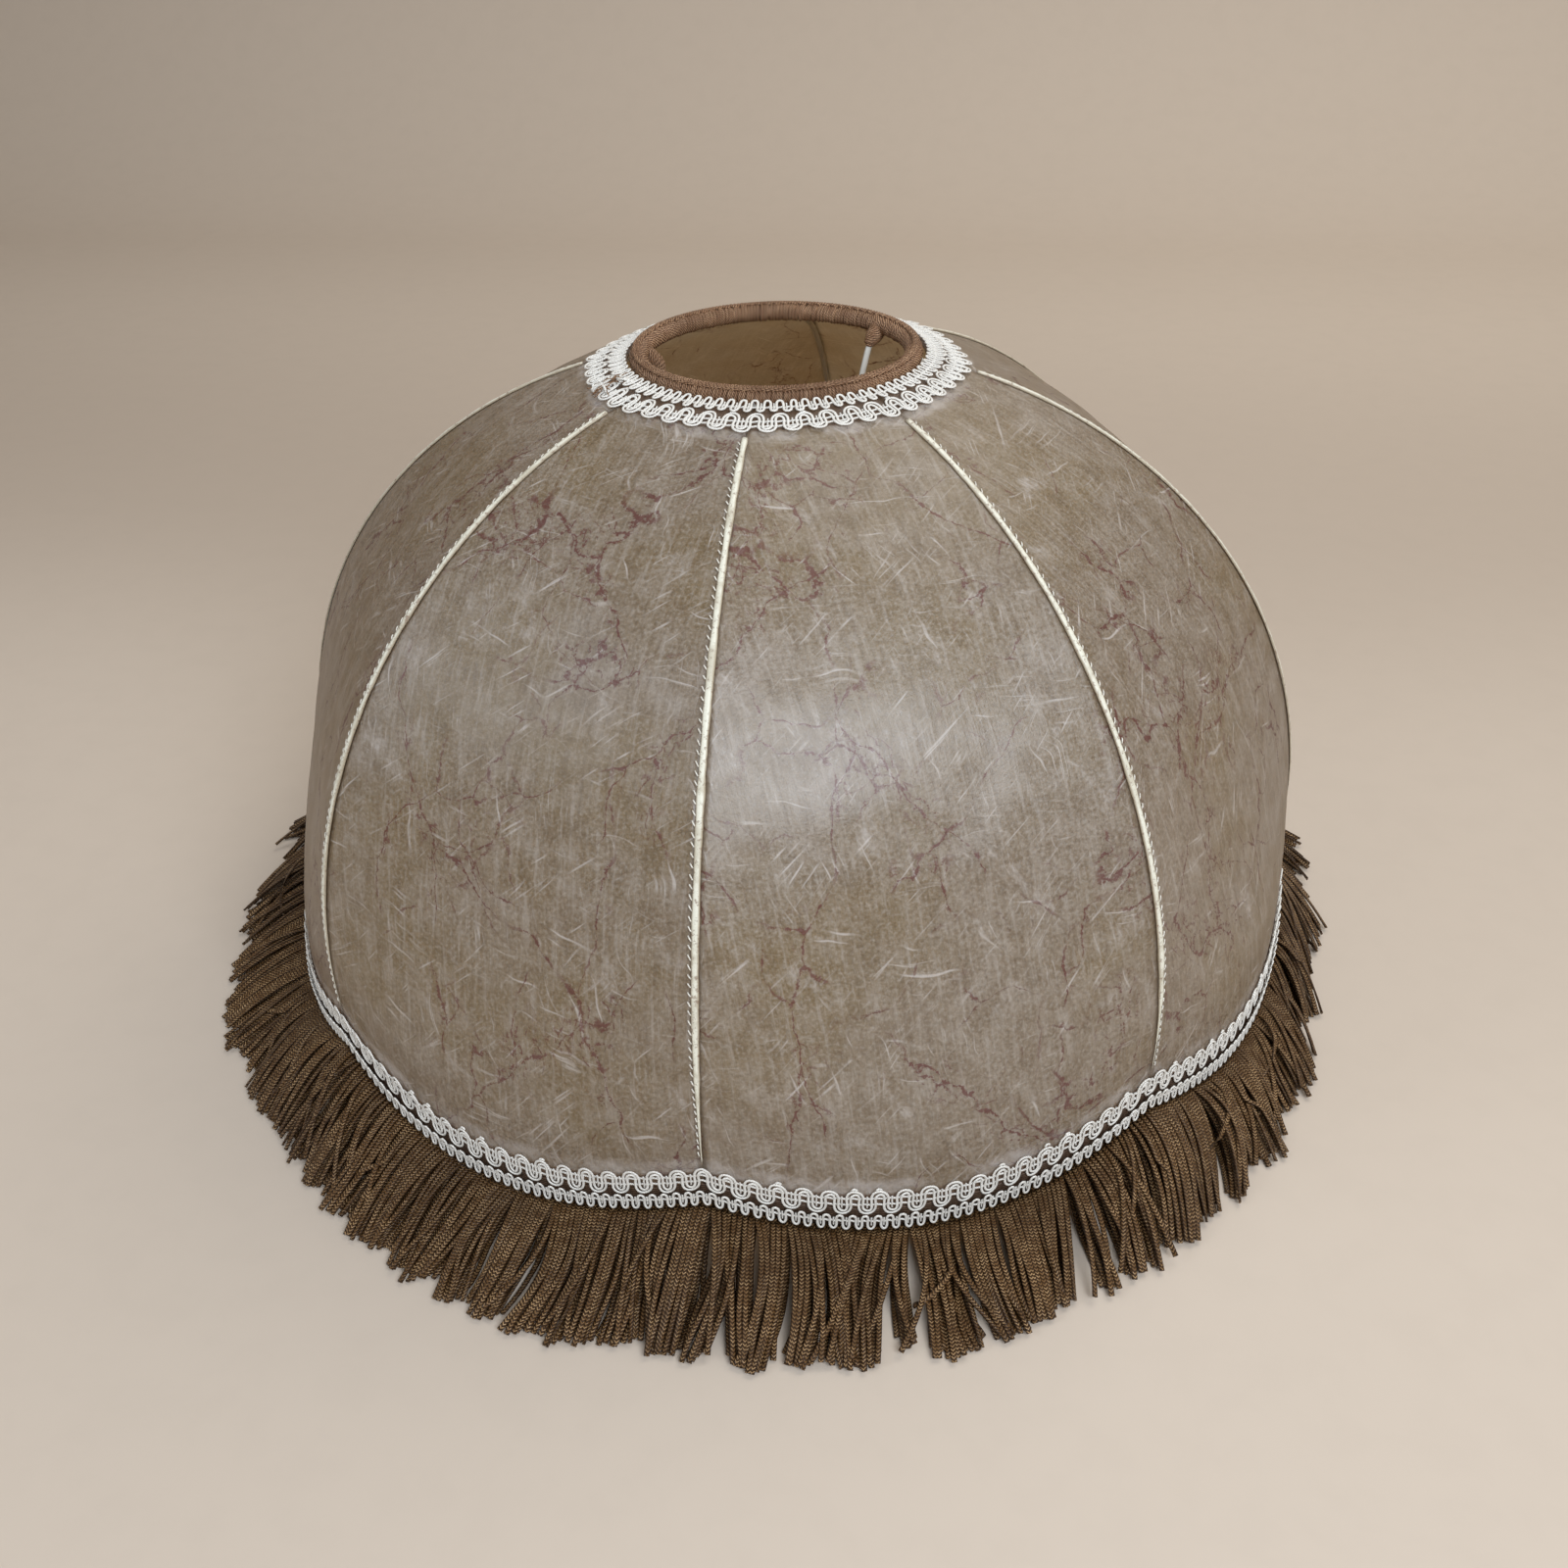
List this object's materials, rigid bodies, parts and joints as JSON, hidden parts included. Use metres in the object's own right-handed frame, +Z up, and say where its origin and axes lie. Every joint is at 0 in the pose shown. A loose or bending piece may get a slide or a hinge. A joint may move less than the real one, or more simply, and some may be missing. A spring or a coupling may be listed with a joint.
{
  "type": "lamp shade",
  "caption": "Bell-shaped lamp shade of stretched skin panels on a ribbed wire frame, trimmed with cream gimp braid and a brown chainette fringe.",
  "frame": {"origin": "on the table, on the vertical centre line of the shade", "axes": "+Z up through the top ring, -Y towards the front rib"},
  "size_m": [0.587, 0.587, 0.294],
  "materials": {
    "frame_wire": "off-white enamel, satin",
    "yarn": "reddish-brown rayon yarn, wound and braided",
    "skin": "stretched translucent skin with veins, satin",
    "seam": "pale worn skin edge, satin",
    "braid": "cream viscose gimp, glossy cord",
    "fringe": "brown viscose chainette cord"
  },
  "bodies": {
    "root": {"top_ring": "frame_wire", "ring_binding": "yarn", "rib_1": "frame_wire", "rib_2": "frame_wire", "rib_3": "frame_wire", "rib_4": "frame_wire", "rib_5": "frame_wire", "rib_6": "frame_wire", "rib_7": "frame_wire", "rib_8": "frame_wire", "bottom_ring": "frame_wire", "fitter_arm_1": "frame_wire", "fitter_arm_2": "frame_wire", "fitter_arm_3": "frame_wire", "lampholder_ring": "frame_wire", "skin_panel_1": "skin", "skin_panel_2": "skin", "skin_panel_3": "skin", "skin_panel_4": "skin", "skin_panel_5": "skin", "skin_panel_6": "skin", "skin_panel_7": "skin", "skin_panel_8": "skin", "seam_bead_1": "seam", "seam_bead_2": "seam", "seam_bead_3": "seam", "seam_bead_4": "seam", "seam_bead_5": "seam", "seam_bead_6": "seam", "seam_bead_7": "seam", "seam_bead_8": "seam", "top_narrow_gimp": "braid", "top_scroll_gimp": "braid", "hem_scroll_gimp": "braid", "hem_narrow_gimp": "braid", "fringe_heading": "fringe", "fringe_1": "fringe", "fringe_2": "fringe", "fringe_3": "fringe", "fringe_4": "fringe", "fringe_5": "fringe", "fringe_6": "fringe", "fringe_7": "fringe", "fringe_8": "fringe"}
  },
  "joints": []
}
